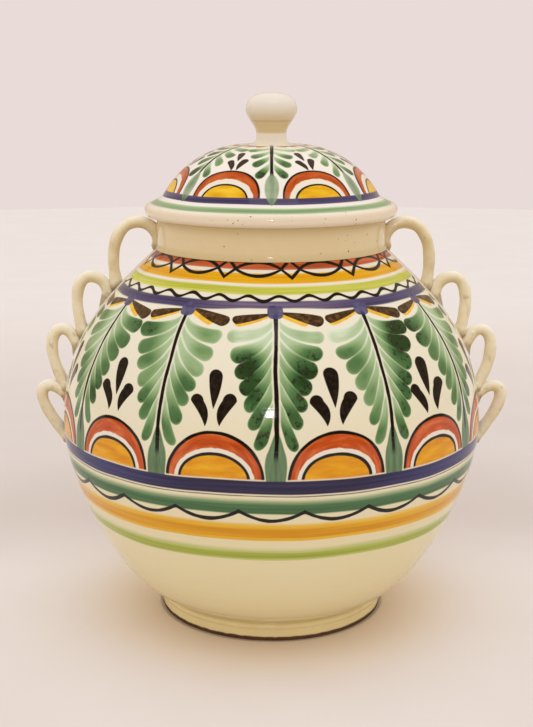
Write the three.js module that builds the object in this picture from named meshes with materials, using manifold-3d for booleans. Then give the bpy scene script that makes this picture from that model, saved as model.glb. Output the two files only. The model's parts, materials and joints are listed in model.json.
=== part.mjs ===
// Lidded pottery jar, thrown on the wheel in pieces and luted together, with four coil handles
// stacked down each side like the links of a chain.
// Millimetres, +Z up. The origin is on the axis of the jar, at the plane that the foot stands on.
// +X points to the right-hand handles, and the painted front faces -Y.
import * as THREE from 'three';
import { mergeVertices } from 'three/addons/utils/BufferGeometryUtils.js';
import Module from 'manifold-3d';

// Foot ring
const footHeight = 13.5;
const footRadius = 74;
const footWidth = 12;
const footEdge = 1.2;
const grooveHeight = 3;
const grooveDepth = 1.4;
const ridgeHeight = 10;
const ridgeProud = 1.1;
const ridgeWidth = 2.4;

// Body
const bodyHeight = 228.5;
const bodyWall = 6.5;
const bodyFloor = 8;
const bellyRadius = 137.3;
const bellyHeight = 113.1;
const footFlareOut = 31.2;
const footFlareUp = 9;
const bellyFullnessBelow = 28.8;
const bellyFullnessAbove = 61;
const shoulderSweepOut = 31.4;
const shoulderSweepDown = 29.9;

// Neck collar
const neckHeight = 20;
const neckRadius = 74;
const neckWall = 7;
const rimEdge = 0.8;

// Lid
const brimOverhang = 7.5;
const brimThickness = 8.3;
const brimRound = 3.5;
const bandWidth = 8.2;
const bandRise = 4.7;
const lidWall = 6;
const domeRise = 32.4;
const domeFlankIn = 10.3;
const domeFlankUp = 18.7;
const domeCrownSweep = 25.2;
const flangeDepth = 14;
const flangeWall = 6;
const flangeClearance = 1.5;
const flangeEdge = 1;

// Knob of the lid
const knobHeight = 32.6;
const knobRadius = 16.4;
const knobWidestHeight = 21.7;
const knobFootRadius = 14.8;
const knobWaistRadius = 9.6;
const knobWaistHeight = 6.5;
const knobCrownSweep = 12.3;

// Coil handles. Each loop leaves the wall at its upper foot, rises, turns over and comes down to its
// lower foot. Feet are measured down from the base of the neck, and the two pulls say how far the
// clay leans out and up as it leaves each foot. The first loop stands beside the neck, so it also
// rises by the neck's height.
const coilDiameter = 7.7;
const fitGap = 0.3;
const firstLoop = {
  upperFoot: 0, lowerFoot: 26,
  upperOut: -5.6, upperRise: 0,
  lowerOut: 11, lowerRise: 35.2,
};
const secondLoop = {
  upperFoot: 32.9, lowerFoot: 56.9,
  upperOut: -3.6, upperRise: 14.3,
  lowerOut: 13.6, lowerRise: 51.7,
};
const thirdLoop = {
  upperFoot: 65.1, lowerFoot: 94.1,
  upperOut: 8.6, upperRise: 22.4,
  lowerOut: 20.5, lowerRise: 35,
};
const fourthLoop = {
  upperFoot: 99.1, lowerFoot: 128.7,
  upperOut: 9.7, upperRise: 12.1,
  lowerOut: 31.8, lowerRise: 37.6,
};

// Fineness of the surfaces, and the least distance that keeps two corners apart
const turns = 48;
const knobTurns = 24;
const wallSteps = 12;
const domeSteps = 8;
const knobSteps = 5;
const roundSteps = 4;
const coilSides = 10;
const coilSteps = 26;
const cornerRoom = 1;
const mergeDistance = 0.001;

// Levels and radii that follow from the sizes above
const neckBase = footHeight + bodyHeight;
const seatHeight = neckBase + neckHeight;
const mouthRadius = neckRadius - neckWall;
const brimRadius = neckRadius + brimOverhang;
const flangeRadius = mouthRadius - flangeClearance;
const flangeInnerRadius = flangeRadius - flangeWall;
const domeBase = brimThickness + bandRise;
const knobSeat = domeBase + domeRise;

const wasm = await Module();
wasm.setup();

const at = (radius, height) => new THREE.Vector2(radius, height);

// Points of one cubic curve, in radius and height.
function curvePoints(start, startPull, endPull, end, steps) {
  return new THREE.CubicBezierCurve(start, startPull, endPull, end).getPoints(steps);
}

// Points of a quarter round about a centre, from one angle to another in degrees.
function arcPoints(centre, radius, fromDegrees, toDegrees) {
  const points = [];
  for (let i = 0; i <= roundSteps; i += 1) {
    const angle = THREE.MathUtils.degToRad(THREE.MathUtils.lerp(fromDegrees, toDegrees, i / roundSteps));
    points.push(at(centre.x + radius * Math.cos(angle), centre.y + radius * Math.sin(angle)));
  }
  return points;
}

// The same line moved sideways: a positive distance goes outwards on a line that runs up the wall.
function movedSideways(points, distance) {
  return points.map((point, i) => {
    const before = points[Math.max(i - 1, 0)];
    const after = points[Math.min(i + 1, points.length - 1)];
    const along = after.clone().sub(before).normalize();
    return at(point.x + along.y * distance, point.y - along.x * distance);
  });
}

// Radius of a line of points at a height, where the line runs upwards.
function radiusAt(points, height) {
  const upper = points.findIndex((point) => point.y >= height);
  if (upper <= 0) return points[upper === 0 ? 0 : points.length - 1].x;
  const a = points[upper - 1];
  const b = points[upper];
  return THREE.MathUtils.lerp(a.x, b.x, (height - a.y) / (b.y - a.y));
}

// Height of a line of points at a radius, where the line runs inwards to the axis.
function heightAt(points, radius) {
  const inner = points.findIndex((point) => point.x <= radius);
  if (inner <= 0) return points[inner === 0 ? 0 : points.length - 1].y;
  const a = points[inner - 1];
  const b = points[inner];
  return THREE.MathUtils.lerp(a.y, b.y, (radius - a.x) / (b.x - a.x));
}

// A turned form: the outline goes out along the bottom, up the outside and back down the inside.
function turned(outline, segments = turns) {
  return new THREE.LatheGeometry(outline, segments).rotateX(Math.PI / 2);
}

// Outer line of the thrown body, from the foot ring up to the base of the neck.
function wallLine(stepsPerHalf) {
  const foot = at(footRadius, footHeight);
  const belly = at(bellyRadius, footHeight + bellyHeight);
  const neck = at(neckRadius, neckBase);
  const below = curvePoints(
    foot,
    at(foot.x + footFlareOut, foot.y + footFlareUp),
    at(belly.x, belly.y - bellyFullnessBelow),
    belly,
    stepsPerHalf,
  );
  const above = curvePoints(
    belly,
    at(belly.x, belly.y + bellyFullnessAbove),
    at(neck.x + shoulderSweepOut, neck.y - shoulderSweepDown),
    neck,
    stepsPerHalf,
  );
  return [...below, ...above.slice(1)];
}

// Thrown body: one wall of even thickness with a flat floor, open at the top. A jar of this size is
// thrown as a bowl and a shoulder, which are joined at the belly.
function bodySections() {
  const outside = wallLine(wallSteps);
  const inside = movedSideways(outside, -bodyWall);
  const floorHeight = footHeight + bodyFloor;
  const everySecond = (point, i) => i % 2 === 0;
  const bowlInside = inside.slice(0, wallSteps + 1).filter(everySecond);
  const clearOfFloor = bowlInside.filter((point) => point.y > floorHeight + cornerRoom);
  const shoulderInside = inside.slice(wallSteps, 2 * wallSteps).filter(everySecond);
  const bowl = turned([
    at(0, footHeight),
    ...outside.slice(0, wallSteps + 1),
    ...clearOfFloor.reverse(),
    at(radiusAt(inside, floorHeight), floorHeight),
    at(0, floorHeight),
  ]);
  const shoulder = turned([
    ...outside.slice(wallSteps),
    at(mouthRadius, neckBase),
    ...shoulderInside.reverse(),
    outside[wallSteps],
  ]);
  return { bowl, shoulder };
}

// Foot ring: a turned ring with a small ridge and a groove under the body.
function footGeometry() {
  const innerRadius = footRadius - footWidth;
  const ridgeHalf = ridgeWidth / 2;
  return turned([
    at(innerRadius + footEdge, 0),
    at(footRadius - footEdge, 0),
    at(footRadius, footEdge),
    at(footRadius, ridgeHeight - ridgeWidth),
    at(footRadius + ridgeProud, ridgeHeight - ridgeHalf),
    at(footRadius + ridgeProud, ridgeHeight),
    at(footRadius - grooveDepth, footHeight - grooveHeight / 2),
    at(footRadius - grooveDepth, footHeight),
    at(innerRadius, footHeight),
    at(innerRadius, footEdge),
    at(innerRadius + footEdge, 0),
  ]);
}

// Neck collar: a straight ring that the lid stands on.
function neckGeometry() {
  return turned([
    at(mouthRadius, neckBase),
    at(neckRadius, neckBase),
    at(neckRadius, seatHeight - rimEdge),
    at(neckRadius - rimEdge, seatHeight),
    at(mouthRadius + rimEdge, seatHeight),
    at(mouthRadius, seatHeight - rimEdge),
    at(mouthRadius, neckBase),
  ]);
}

// Lid: a rounded brim, a sloping painted band and a hollow dome with a flat seat for the knob.
// Its heights are measured from the seat on the rim of the neck.
function lidGeometry() {
  const brimTopRadius = brimRadius - brimRound;
  const domeRadius = brimTopRadius - bandWidth;
  const dome = curvePoints(
    at(domeRadius, domeBase),
    at(domeRadius - domeFlankIn, domeBase + domeFlankUp),
    at(knobFootRadius + domeCrownSweep, knobSeat),
    at(knobFootRadius, knobSeat),
    domeSteps,
  );
  const hollow = movedSideways(dome, -lidWall);
  const hollowInside = hollow.filter((point) => point.x < flangeInnerRadius - cornerRoom);
  return turned([
    at(flangeInnerRadius, 0),
    ...arcPoints(at(brimTopRadius, brimRound), brimRound, -90, 0),
    ...arcPoints(at(brimTopRadius, brimThickness - brimRound), brimRound, 0, 90),
    ...dome,
    at(0, knobSeat),
    at(0, knobSeat - lidWall),
    ...hollowInside.reverse(),
    at(flangeInnerRadius, heightAt(hollow, flangeInnerRadius)),
    at(flangeInnerRadius, 0),
  ]);
}

// Locating flange: a ring under the lid that keeps it centred in the neck.
function flangeGeometry() {
  return turned([
    at(flangeInnerRadius, -flangeDepth),
    at(flangeRadius - flangeEdge, -flangeDepth),
    at(flangeRadius, flangeEdge - flangeDepth),
    at(flangeRadius, 0),
    at(flangeInnerRadius, 0),
    at(flangeInnerRadius, -flangeDepth),
  ]);
}

// Knob: a flared foot, a narrow waist and a head that widens to a soft shoulder.
function knobGeometry() {
  const foot = at(knobFootRadius, knobSeat);
  const waist = at(knobWaistRadius, knobSeat + knobWaistHeight);
  const widest = at(knobRadius, knobSeat + knobWidestHeight);
  const top = at(0, knobSeat + knobHeight);
  const throat = at(waist.x, foot.y + (waist.y - foot.y) / 2);
  const flare = curvePoints(foot, at(waist.x, foot.y), throat, waist, knobSteps);
  const underHead = curvePoints(
    waist,
    at(waist.x, waist.y + (widest.y - waist.y) / 3),
    at(widest.x, widest.y - (widest.y - waist.y) / 3),
    widest,
    knobSteps,
  );
  const head = curvePoints(
    widest,
    at(widest.x, widest.y + (top.y - widest.y) / 2),
    at(knobCrownSweep, top.y),
    top,
    knobSteps,
  );
  return turned([at(0, knobSeat), ...flare, ...underHead.slice(1), ...head.slice(1)], knobTurns);
}

// Middle line of one coil loop, in the plane of the handles. It runs on into the wall at both feet.
function loopLine(loop) {
  const wall = wallLine(wallSteps * 2);
  const onWall = (depth) => new THREE.Vector3(radiusAt(wall, neckBase - depth), 0, neckBase - depth);
  const start = onWall(loop.upperFoot);
  const end = onWall(loop.lowerFoot);
  const startPull = start.clone().add(new THREE.Vector3(loop.upperOut, 0, loop.upperRise));
  const endPull = end.clone().add(new THREE.Vector3(loop.lowerOut, 0, loop.lowerRise));
  const sunk = coilDiameter;
  const startInside = start.clone().sub(startPull).setLength(sunk).add(start);
  const endInside = end.clone().sub(endPull).setLength(sunk).add(end);
  const line = new THREE.CurvePath();
  line.add(new THREE.LineCurve3(startInside, start));
  line.add(new THREE.CubicBezierCurve3(start, startPull, endPull, end));
  line.add(new THREE.LineCurve3(end, endInside));
  return line;
}

// A round coil of clay laid along a line.
function coilGeometry(line, diameter) {
  const ring = [];
  for (let i = 0; i < coilSides; i += 1) {
    const angle = (2 * Math.PI * i) / coilSides;
    ring.push(at((diameter / 2) * Math.cos(angle), (diameter / 2) * Math.sin(angle)));
  }
  return new THREE.ExtrudeGeometry(new THREE.Shape(ring), {
    steps: coilSteps,
    extrudePath: line,
    bevelEnabled: false,
  });
}

// Everything that a coil has to stay clear of: the body, the neck and the brim of the lid above it.
function clearanceGeometry() {
  const outside = movedSideways(wallLine(wallSteps), fitGap).filter((point) => point.y < neckBase);
  const brimTop = seatHeight + brimThickness;
  return turned([
    at(0, footHeight),
    ...outside,
    at(neckRadius + fitGap, neckBase),
    at(neckRadius + fitGap, seatHeight - fitGap),
    at(brimRadius + fitGap, seatHeight - fitGap),
    at(brimRadius + fitGap, brimTop),
    at(0, brimTop),
  ]);
}

// A closed geometry as a solid that can be joined and cut.
function solidFrom(geometry) {
  const bare = geometry.clone();
  bare.deleteAttribute('normal');
  bare.deleteAttribute('uv');
  const merged = mergeVertices(bare, mergeDistance);
  const corners = Array.from(merged.index.array);
  const triVerts = [];
  for (let i = 0; i < corners.length; i += 3) {
    const [a, b, c] = corners.slice(i, i + 3);
    if (a !== b && b !== c && c !== a) triVerts.push(a, b, c);
  }
  return new wasm.Manifold(new wasm.Mesh({
    numProp: 3,
    vertProperties: merged.getAttribute('position').array,
    triVerts: new Uint32Array(triVerts),
  }));
}

function geometryFrom(solid) {
  const { vertProperties, triVerts } = solid.getMesh();
  const geometry = new THREE.BufferGeometry();
  geometry.setAttribute('position', new THREE.BufferAttribute(vertProperties, 3));
  geometry.setIndex(new THREE.BufferAttribute(triVerts, 1));
  return geometry;
}

// Materials
const ivoryGlaze = new THREE.MeshStandardMaterial({ color: 0xe8dabf, roughness: 0.25, metalness: 0 });
const rimGlaze = new THREE.MeshStandardMaterial({ color: 0xefe4d2, roughness: 0.22, metalness: 0 });
const streakedGlaze = new THREE.MeshStandardMaterial({ color: 0xd2c49c, roughness: 0.25, metalness: 0 });
const bareClay = new THREE.MeshStandardMaterial({ color: 0xc9a888, roughness: 0.8, metalness: 0 });

function piece(name, geometry, material) {
  const mesh = new THREE.Mesh(geometry, material);
  mesh.name = name;
  return mesh;
}

// The four loops of one side, each cut to the wall and to the loop above it.
function loopGeometries() {
  const besideNeck = {
    ...firstLoop,
    upperRise: firstLoop.upperRise + neckHeight,
    lowerRise: firstLoop.lowerRise + neckHeight,
  };
  const loops = [besideNeck, secondLoop, thirdLoop, fourthLoop];
  const vessel = solidFrom(clearanceGeometry());
  let above = null;
  return loops.map((loop) => {
    const line = loopLine(loop);
    let solid = solidFrom(coilGeometry(line, coilDiameter)).subtract(vessel);
    if (above) solid = solid.subtract(above);
    above = solidFrom(coilGeometry(line, coilDiameter + 2 * fitGap));
    return geometryFrom(solid);
  });
}

// Assembly
const sections = bodySections();
const jar = new THREE.Group();
jar.add(piece('foot_ring', footGeometry(), bareClay));
jar.add(piece('jar_body', sections.bowl, ivoryGlaze));
jar.add(piece('jar_shoulder', sections.shoulder, ivoryGlaze));
jar.add(piece('neck_collar', neckGeometry(), ivoryGlaze));
loopGeometries().forEach((geometry, i) => {
  const right = piece(`handle_right_${i + 1}`, geometry, streakedGlaze);
  const left = piece(`handle_left_${i + 1}`, geometry, streakedGlaze);
  left.rotation.z = Math.PI;
  jar.add(right, left);
});

const lid = new THREE.Group();
lid.position.z = seatHeight;
lid.add(piece('lid_dome', lidGeometry(), rimGlaze));
lid.add(piece('lid_flange', flangeGeometry(), bareClay));
lid.add(piece('lid_knob', knobGeometry(), rimGlaze));

const part = new THREE.Group();
part.add(jar, lid);

export default part;
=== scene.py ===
# %% [markdown]
# # A lidded pottery jar, thrown, glazed and painted
#
# The real jar is earthenware under a glossy ivory tin glaze. Bands, fronds, arches and drops are
# brushed on the raw glaze and melt into it in the kiln. A measured solid model says how big every
# piece is. This lesson loads it, builds finer turned and rolled pieces in its place, and paints
# them with nodes. It starts by loading the solids.

# %% Load the measured pieces
import json
import math
import bmesh
import bpy
import numpy as np
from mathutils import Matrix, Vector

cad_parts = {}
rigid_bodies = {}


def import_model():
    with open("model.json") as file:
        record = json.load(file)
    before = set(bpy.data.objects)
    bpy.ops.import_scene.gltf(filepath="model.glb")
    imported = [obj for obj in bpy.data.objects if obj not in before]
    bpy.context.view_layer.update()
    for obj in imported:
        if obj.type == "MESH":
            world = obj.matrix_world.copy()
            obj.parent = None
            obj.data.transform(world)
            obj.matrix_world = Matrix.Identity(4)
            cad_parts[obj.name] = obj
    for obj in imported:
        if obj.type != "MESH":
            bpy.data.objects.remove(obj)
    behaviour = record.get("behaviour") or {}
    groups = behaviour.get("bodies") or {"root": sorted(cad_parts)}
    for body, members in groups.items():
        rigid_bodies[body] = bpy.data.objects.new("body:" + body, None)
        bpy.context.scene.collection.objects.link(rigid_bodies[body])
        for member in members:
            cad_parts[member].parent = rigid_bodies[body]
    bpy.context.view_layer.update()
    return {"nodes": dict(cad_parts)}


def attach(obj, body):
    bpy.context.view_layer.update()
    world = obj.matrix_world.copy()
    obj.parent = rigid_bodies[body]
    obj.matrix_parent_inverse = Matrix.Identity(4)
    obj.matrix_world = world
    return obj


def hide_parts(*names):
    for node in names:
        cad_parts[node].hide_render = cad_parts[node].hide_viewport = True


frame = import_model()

MM = 0.001
print("pieces:", sorted(frame["nodes"]))

# %% [markdown]
# ## The camera
#
# The photograph was taken from a little above the shoulder, so the brim and the bands show as
# open ellipses. A camera is placed by working back from those ellipses: their flatness gives the
# angle, and how fast it changes from foot to lid gives the distance. The focal length comes out
# in pixels. Divided by the height of the picture, and times the 36 mm sensor, it is the lens.

# %% Set up the camera
PICTURE_HEIGHT = 727
FOCAL_PIXELS = 1289.64
CAMERA_PLACE = (0, -0.83478, 0.34736)
LOOKS_DOWN, LOOKS_LEFT = 12.406, 0.2146
camera_data = bpy.data.cameras.new("camera")
camera_data.sensor_width = 36
camera_data.lens = FOCAL_PIXELS / PICTURE_HEIGHT * camera_data.sensor_width
camera = bpy.data.objects.new("camera", camera_data)
camera.location = CAMERA_PLACE
camera.rotation_euler = (math.radians(90 - LOOKS_DOWN), 0, math.radians(LOOKS_LEFT))
bpy.context.scene.collection.objects.link(camera)
bpy.context.scene.camera = camera
print("lens", round(camera_data.lens, 2), "mm")

# %% [markdown]
# ## Numbers that change over a surface
#
# Every finish in this lesson is worked out by nodes, at each point of the clay, from where that
# point is. Such sums could be wired by hand, one Math node at a time. Here a small class stands
# for the number that leaves a node, so that ordinary arithmetic in the script adds the nodes.

# %% A field: one number at every point
class Field:
    """A number that changes over a surface. Arithmetic on fields adds Math nodes."""
    tree = None

    def __init__(self, socket):
        self.socket = socket

    def __add__(self, other):
        return reckon("ADD", self, other)

    def __sub__(self, other):
        return reckon("SUBTRACT", self, other)

    def __rsub__(self, other):
        return reckon("SUBTRACT", other, self)

    def __mul__(self, other):
        return reckon("MULTIPLY", self, other)

    def __truediv__(self, other):
        return reckon("DIVIDE", self, other)

    def __rtruediv__(self, other):
        return reckon("DIVIDE", other, self)

    __radd__ = __add__
    __rmul__ = __mul__


def plug(value, socket):
    """Join a field to a socket, or type a plain value into it."""
    if isinstance(value, Field):
        Field.tree.links.new(value.socket, socket)
    else:
        socket.default_value = value


def node(kind, **settings):
    """A new node in the tree that is being wired."""
    made = Field.tree.nodes.new("ShaderNode" + kind)
    for name, setting in settings.items():
        setattr(made, name, setting)
    return made


def reckon(operation, *values):
    """One sum: a Math node and the field that leaves it."""
    made = node("Math", operation=operation)
    for value, socket in zip(values, made.inputs):
        plug(value, socket)
    return Field(made.outputs[0])


# %% [markdown]
# A few more verbs make the sums short. Fade turns a distance into a soft-edged cover between
# 0 and 1. Spot packs numbers into a place for a texture to read. Mottle is Blender's noise, used
# for everything that a hand or a kiln leaves uneven.

# %% Fade, spot, mottle and mixing
def fade(value, low, high):
    """0 up to low, 1 from high on, and a soft edge between them."""
    made = node("MapRange", interpolation_type="SMOOTHSTEP")
    for given, name in ((value, "Value"), (low, "From Min"), (high, "From Max")):
        plug(given, made.inputs[name])
    return Field(made.outputs["Result"])


def spot(x, y, z=0.0):
    """A place made of three numbers."""
    made = node("CombineXYZ")
    for value, socket in zip((x, y, z), made.inputs):
        plug(value, socket)
    return Field(made.outputs[0])


def mottle(where, scale=1.0, detail=2.0):
    """Soft noise around 0, about a half each way."""
    made = node("TexNoise")
    plug(where, made.inputs["Vector"])
    made.inputs["Scale"].default_value = scale
    made.inputs["Detail"].default_value = detail
    return Field(made.outputs[0]) - 0.5


def between(share, low, high):
    """The number that lies that share of the way from low to high."""
    made = node("Mix", data_type="FLOAT")
    for value, place in ((share, 0), (low, 2), (high, 3)):
        plug(value, made.inputs[place])
    return Field(made.outputs[0])


def tint(code):
    """A colour as it is written on screens, such as e8dabf, in the numbers that light uses."""
    parts = [int(code[i:i + 2], 16) / 255 for i in (0, 2, 4)]
    return (*[p / 12.92 if p <= 0.04045 else ((p + 0.055) / 1.055) ** 2.4 for p in parts], 1.0)


def lay(below, colour, cover):
    """Paint a colour over another one where cover says so."""
    made = node("Mix", data_type="RGBA")
    for value, place in ((cover, 0), (below, 6), (colour, 7)):
        plug(value, made.inputs[place])
    return Field(made.outputs[2])


def shades(value, *stops):
    """A ramp of colours: each stop is a position and a colour."""
    made = node("ValToRGB")
    plug(value, made.inputs[0])
    ramp = made.color_ramp
    while len(ramp.elements) < len(stops):
        ramp.elements.new(0.5)
    for element, (position, code) in zip(ramp.elements, stops):
        element.position = position
        element.color = tint(code)
    return Field(made.outputs[0])


# %% [markdown]
# ## The stage
#
# The jar stands on seamless pale paper in a bright room. A wide round sheet under the jar is
# enough: its far edge fades into the colour of the world, as the paper does. Shadow is painted
# on the paper: a little darker in a broad ring round the jar and behind it, and brown in a thin
# line round the foot. Near the jar the paper is painted warm, as a painted reflection of the
# glaze shining back on it. The room's light is the world, soft and brightest overhead, as under a
# white ceiling. A lamp could do that too, but the glaze would mirror it. Mirror rays meet a
# dimmer and warmer room, and some of the backdrop behind the jar, so that the glaze keeps its
# colours. Two small lamps are there only for the glaze to mirror: a window overhead in front of
# the jar, and a sharp glint from beside the camera.

# %% Paper floor
def new_material(name):
    """An empty material with its shader, ready to be wired."""
    material = bpy.data.materials.new(name)
    material.use_nodes = True
    Field.tree = material.node_tree
    shader = Field.tree.nodes["Principled BSDF"]
    return material, shader


def object_place(scale=1000.0):
    """Where the point is on its own piece, in millimetres."""
    made = node("VectorMath", operation="SCALE")
    Field.tree.links.new(node("TexCoord").outputs["Object"], made.inputs[0])
    made.inputs["Scale"].default_value = scale
    return Field(made.outputs[0])


def separate(where):
    """The three numbers of a place."""
    made = node("SeparateXYZ")
    plug(where, made.inputs[0])
    return [Field(socket) for socket in made.outputs]


FLOOR_RADIUS = 2.8
floor_mesh = bpy.data.meshes.new("floor")
shape = bmesh.new()
bmesh.ops.create_circle(shape, cap_ends=True, segments=96, radius=FLOOR_RADIUS)
shape.to_mesh(floor_mesh)
shape.free()
floor = bpy.data.objects.new("floor", floor_mesh)
bpy.context.scene.collection.objects.link(floor)
floor_material, shader = new_material("pale_paper")
where = object_place()
grain = mottle(where, 0.6, 3) * 0.5 + mottle(where, 0.012, 2)
x, y = separate(where)[:2]
distance = reckon("SQRT", x * x + y * y)
# painted shade: the paper is darker in a broad ring round the jar, from about 15 cm out to 1.3 m
shaded_middle_ground = fade(distance, 150.0, 350.0) * fade(distance, 1300.0, 450.0)
paper = shades(grain * 0.2 + 0.7 - shaded_middle_ground * 0.55, (0.0, "d1c4bc"), (1.0, "ede2dd"))
# painted reflection: warm near the jar, where its glaze would shine back on the paper
paper = lay(paper, tint("e6cba0"), fade(distance, 150.0, 76.0) * 0.55)
# painted shadow: darker behind the jar
paper = lay(paper, tint("a8907f"), fade(distance, 430.0, 170.0) * fade(y, 40.0, 190.0) * 0.4)
# painted contact shadow: a thin brown line round the foot
paper = lay(paper, tint("6b4a30"), fade(distance, 76.6, 75.0) * 0.4)
plug(paper, shader.inputs["Base Color"])
shader.inputs["Roughness"].default_value = 0.85
shader.inputs["Specular IOR Level"].default_value = 0.2
floor_mesh.materials.append(floor_material)
print("floor", FLOOR_RADIUS, "m")

# %% World and lamps
BACKDROP = "e9dbd8"
world = bpy.data.worlds.new("room")
bpy.context.scene.world = world
world.use_nodes = True
Field.tree = world.node_tree
light_path = node("LightPath")
seen, mirrored = (Field(light_path.outputs[name]) for name in ("Is Camera Ray", "Is Glossy Ray"))
ahead, overhead = separate(Field(node("TexCoord").outputs["Generated"]))[1:]
sky = between(fade(overhead, -0.3, 1.0), 0.94, 1.25) * (1.0 - fade(ahead, 0.1, -1.0) * 0.25)
behind = mirrored * fade(ahead, 0.1, 0.7) * 0.5
sky = sky * (1.0 - (mirrored - behind) * 0.64)
background = Field.tree.nodes["Background"]
room = lay(tint("ffffff"), tint("ffe0b4"), mirrored)
plug(lay(room, tint(BACKDROP), reckon("MAXIMUM", seen, behind)), background.inputs["Color"])
plug(between(seen, sky, 1.0), background.inputs["Strength"])


def lamp(name, place, aim, size, power, colour=(1, 1, 1)):
    """A small rectangular lamp."""
    lamp_data = bpy.data.lights.new(name, "AREA")
    lamp_data.shape = "RECTANGLE"
    lamp_data.size, lamp_data.size_y = size
    lamp_data.energy = power
    lamp_data.color = colour
    made = bpy.data.objects.new(name, lamp_data)
    made.location = place
    toward = Vector(aim) - Vector(place)
    made.rotation_euler = toward.to_track_quat("-Z", "Y").to_euler()
    bpy.context.scene.collection.objects.link(made)


lamp("window", (0.03, -0.5, 1.1), (0.0, -0.11, 0.2), (0.7, 0.22), 0.5, (1.0, 0.97, 0.93))
lamp("glint", (-0.006, -1.085, 0.47), (0, -0.13, 0.165), (0.06, 0.036), 0.65)
bpy.context.scene.view_settings.view_transform = "Standard"

# %% [markdown]
# ## Turned clay
#
# The body, the neck, the foot, the lid and its knob all leave the wheel as spun outlines. A
# lathe or Screw modifier could spin them. Spinning the rows in code lets each point carry its
# run, the distance along the wall in millimetres, which is how a painter measures from band to
# band, and lets the spin be a little uneven, as a hand leaves it.

# %% Outlines as curves
def curve(start, leaving, arriving, end, steps):
    """Points of one smooth curve between two places on an outline, as (radius, height)."""
    t = np.linspace(0, 1, steps + 1)[:, None]
    a, b, c, d = (np.array(point, float) for point in (start, leaving, arriving, end))
    return a * (1 - t) ** 3 + 3 * b * t * (1 - t) ** 2 + 3 * c * t ** 2 * (1 - t) + d * t ** 3


def offset_line(line, distance):
    """The same outline moved sideways, into the clay where the distance is negative."""
    along = np.gradient(line, axis=0)
    along /= np.linalg.norm(along, axis=1)[:, None]
    return line + distance * np.column_stack([along[:, 1], -along[:, 0]])


def runs(line, zero):
    """Distance along an outline from the point nearest to zero, which is (radius, height)."""
    steps = np.linalg.norm(np.diff(line, axis=0), axis=1)
    total = np.concatenate([[0], np.cumsum(steps)])
    return total - total[np.argmin(np.linalg.norm(line - np.array(zero), axis=1))]


FOOT_TOP = 13.5
NECK_BASE = 242.0
SEAT = 262.0
NECK_RADIUS = 74.0
BELLY = (137.3, 126.6)
BAND_ZERO = (137.25, 124.5)
wall = np.vstack([
    curve((74, FOOT_TOP), (105.2, 22.5), (BELLY[0], BELLY[1] - 28.8), BELLY, 60)[:-1],
    curve(BELLY, (BELLY[0], BELLY[1] + 61), (105.4, 212.1), (NECK_RADIUS, NECK_BASE), 90),
])
wall_runs = runs(wall, BAND_ZERO)
print("wall from", round(wall_runs[0], 1), "to", round(wall_runs[-1], 1), "mm")

# %% A mesh whose points carry a number
def clay_mesh(name, corners, faces, label, values, strips=None):
    """A smooth mesh whose points carry a number, and whose faces may differ in finish."""
    mesh = bpy.data.meshes.new(name)
    mesh.from_pydata(corners, [], faces)
    if strips:
        mesh.polygons.foreach_set("material_index", strips)
    attribute = mesh.attributes.new(label, "FLOAT", "POINT")
    attribute.data.foreach_set("value", np.array(values, np.float32))
    shape = bmesh.new()
    shape.from_mesh(mesh)
    bmesh.ops.remove_doubles(shape, verts=shape.verts, dist=1e-6)
    bmesh.ops.recalc_face_normals(shape, faces=shape.faces)
    shape.to_mesh(mesh)
    shape.free()
    mesh.shade_smooth()
    return mesh


# %% Spinning the rows
AROUND = 180


def hand(angle, height):
    """How far the potter's hands left the wall from round, in millimetres."""
    oval = 0.28 * math.sin(2 * angle + 0.6 + height / 160)
    return oval + 0.12 * math.sin(3 * angle - height / 45) + 0.07 * math.sin(5 * angle + height / 18)


def shown(mesh, name, body, slot, *nodes):
    """Put a finished mesh in the scene as a piece that stands for solids of the model."""
    piece = bpy.data.objects.new(name, mesh)
    bpy.context.scene.collection.objects.link(piece)
    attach(piece, body)
    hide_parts(*nodes)
    print(name, len(mesh.polygons), "faces")
    return piece


def spun(name, outline, run_values, finishes=None, closed=False):
    """A mesh spun about the axis of the jar, whose points carry their run.

    Finishes gives each strip between two rows the number of its material.
    """
    rows = len(outline)
    corners, faces, strips = [], [], []
    for radius, height in outline:
        for i in range(AROUND):
            angle = 2 * math.pi * i / AROUND
            worn = max(radius + hand(angle, height) * min(1, radius / 40), 0)
            corners.append((worn * math.sin(angle) * MM, -worn * math.cos(angle) * MM, height * MM))
    for row in range(rows if closed else rows - 1):
        after = (row + 1) % rows
        for i in range(AROUND):
            j = (i + 1) % AROUND
            faces.append((row * AROUND + i, row * AROUND + j, after * AROUND + j, after * AROUND + i))
            strips.append(finishes[row] if finishes else 0)
    return clay_mesh(name, corners, faces, "run", np.repeat(run_values, AROUND), strips)


# %% [markdown]
# ## The thrown body
#
# One wall about 6.5 mm thick, with a flat floor. The outside is painted and the inside is plain
# glaze, so the mesh has two finishes: the strips of the outer wall take the first, and the rest
# take the second.

# %% Body
WALL = 6.5
FLOOR_HEIGHT = FOOT_TOP + 8.0
inside = offset_line(wall, -WALL)[::-3]
inside = inside[inside[:, 1] > FLOOR_HEIGHT + 3]
floor_radius = inside[-1][0] - 6.0
cove = curve(
    inside[-1], (inside[-1][0] - 2.5, FLOOR_HEIGHT + 1),
    (floor_radius + 2, FLOOR_HEIGHT), (floor_radius, FLOOR_HEIGHT), 5,
)
body_outline = np.vstack([
    [(0, FOOT_TOP), (60, FOOT_TOP)], wall, [(67.6, NECK_BASE), (67.0, NECK_BASE - 0.5)],
    inside[1:], cove[1:], [(floor_radius * 0.6, FLOOR_HEIGHT), (0, FLOOR_HEIGHT)],
])
first, last = 2, 2 + len(wall) - 1
body_runs = [-200.0] * 2 + list(wall_runs) + [-200.0] * (len(body_outline) - last - 1)
body_finishes = [0 if first <= row < last else 1 for row in range(len(body_outline) - 1)]
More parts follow.
